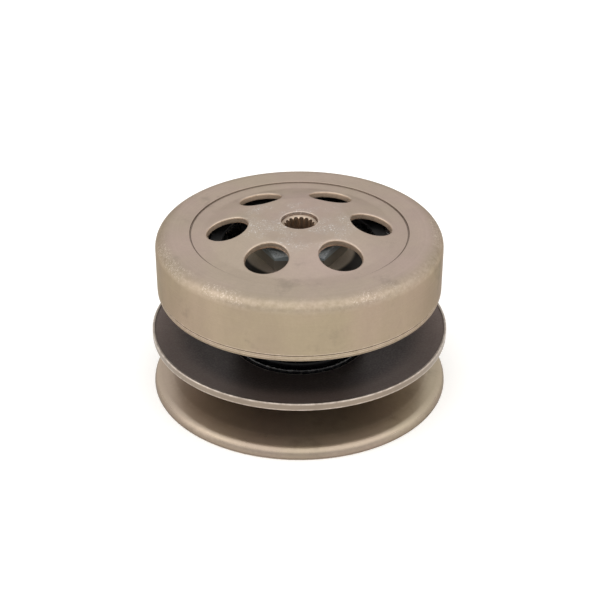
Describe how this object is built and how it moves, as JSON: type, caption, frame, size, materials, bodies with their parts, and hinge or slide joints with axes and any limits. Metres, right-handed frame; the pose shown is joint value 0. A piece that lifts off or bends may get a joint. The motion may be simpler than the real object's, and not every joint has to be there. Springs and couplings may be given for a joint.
{
  "type": "driven pulley and clutch set",
  "caption": "Belt-drive driven pulley with a sliding spring-loaded sheave, centrifugal clutch shoes and a vented clutch bell with a splined hub.",
  "frame": {"origin": "centre of the circle on which the lower sheave's rim rests, on the shaft axis", "axes": "+Z along the shaft axis, from the lower sheave up to the clutch bell; one bell window lies just past +X"},
  "size_m": [0.141, 0.141, 0.0851],
  "materials": {
    "satin_nickel": "satin nickel-like plate with a warm tone, finely blasted",
    "dark_satin_steel": "dark satin steel",
    "machined_steel": "turned and ground steel",
    "bearing_steel": "polished bearing steel",
    "black_steel": "black phosphated steel",
    "gloss_black_paint": "gloss black spring paint",
    "black_plastic": "moulded black nylon",
    "zinc_plate": "blue-grey zinc plate",
    "cast_aluminium": "as-cast aluminium",
    "friction_lining": "dark brown friction lining",
    "spring_wire": "drawn spring wire",
    "rubber": "black rubber"
  },
  "bodies": {
    "fixed_half": {"fixed_face": "satin_nickel", "hub_tube": "machined_steel", "needle_bearing_shell": "bearing_steel", "hub_seal": "rubber", "ball_bearing_outer": "bearing_steel", "bearing_circlip": "black_steel", "contra_spring": "gloss_black_paint", "spring_seat": "black_plastic", "drive_plate": "zinc_plate", "clutch_nut": "zinc_plate", "shoe_retainer_plate": "zinc_plate", "guide_pin_1": "machined_steel", "guide_roller_1": "bearing_steel", "shoe_pivot_pin_1": "machined_steel", "e_clip_1": "black_steel", "damper_stud_1": "machined_steel", "damper_1": "rubber", "shoe_spring_1": "spring_wire", "guide_pin_2": "machined_steel", "guide_roller_2": "bearing_steel", "shoe_pivot_pin_2": "machined_steel", "e_clip_2": "black_steel", "damper_stud_2": "machined_steel", "damper_2": "rubber", "shoe_spring_2": "spring_wire", "guide_pin_3": "machined_steel", "guide_roller_3": "bearing_steel", "shoe_pivot_pin_3": "machined_steel", "e_clip_3": "black_steel", "damper_stud_3": "machined_steel", "damper_3": "rubber", "shoe_spring_3": "spring_wire"},
    "spring_collar": {"seal_collar": "black_steel"},
    "movable_half": {"movable_face": "dark_satin_steel", "movable_hub": "machined_steel", "o_ring_lower": "rubber", "o_ring_upper": "rubber", "oil_seal_lower": "rubber", "oil_seal_upper": "rubber"},
    "clutch_output": {"clutch_bell": "satin_nickel", "bell_hub": "satin_nickel", "ball_bearing_inner": "bearing_steel"},
    "ball_set": {"ball_cage": "bearing_steel"},
    "needle_set": {"needle_cage": "bearing_steel"},
    "shoe_1": {"clutch_shoe_1": "cast_aluminium", "shoe_lining_1": "friction_lining"},
    "shoe_2": {"clutch_shoe_2": "cast_aluminium", "shoe_lining_2": "friction_lining"},
    "shoe_3": {"clutch_shoe_3": "cast_aluminium", "shoe_lining_3": "friction_lining"}
  },
  "joints": [
    {"name": "sheave_slide", "type": "slide", "parent": "fixed_half", "child": "spring_collar", "axis": [0, 0, 1], "range_m": [0, 0.014], "stiffness_N_per_m": 8000, "springref_m": -0.03, "deforming": ["contra_spring"]},
    {"name": "sheave_turn", "type": "hinge", "parent": "spring_collar", "child": "movable_half", "pos_m": [0, 0, 0.03], "axis": [0, 0, 1], "range_deg": [0, 40.12]},
    {"name": "bell_spin", "type": "hinge", "parent": "fixed_half", "child": "clutch_output", "pos_m": [0, 0, 0.07], "axis": [0, 0, 1], "continuous": true},
    {"name": "ball_cage_spin", "type": "hinge", "parent": "fixed_half", "child": "ball_set", "pos_m": [0, 0, 0.0585], "axis": [0, 0, 1], "continuous": true},
    {"name": "needle_cage_spin", "type": "hinge", "parent": "fixed_half", "child": "needle_set", "pos_m": [0, 0, 0.0155], "axis": [0, 0, 1], "continuous": true},
    {"name": "shoe_1_swing", "type": "hinge", "parent": "fixed_half", "child": "shoe_1", "pos_m": [0.03819, 0.02564, 0.0637], "axis": [0, 0, -1], "range_deg": [0, 1.5], "stiffness_Nm_per_rad": 3, "springref_deg": -17.19, "deforming": ["shoe_spring_1"]},
    {"name": "shoe_2_swing", "type": "hinge", "parent": "fixed_half", "child": "shoe_2", "pos_m": [-0.0413, 0.02026, 0.0637], "axis": [0, 0, -1], "range_deg": [0, 1.5], "stiffness_Nm_per_rad": 3, "springref_deg": -17.19, "deforming": ["shoe_spring_2"]},
    {"name": "shoe_3_swing", "type": "hinge", "parent": "fixed_half", "child": "shoe_3", "pos_m": [0.0031, -0.0459, 0.0637], "axis": [0, 0, -1], "range_deg": [0, 1.5], "stiffness_Nm_per_rad": 3, "springref_deg": -17.19, "deforming": ["shoe_spring_3"]}
  ],
  "couplings": [
    {"joint": "sheave_turn", "follows": "sheave_slide", "rad_per_m": 50},
    {"joint": "ball_cage_spin", "follows": "bell_spin", "ratio": 0.41},
    {"joint": "needle_cage_spin", "follows": "bell_spin", "ratio": 0.45}
  ]
}
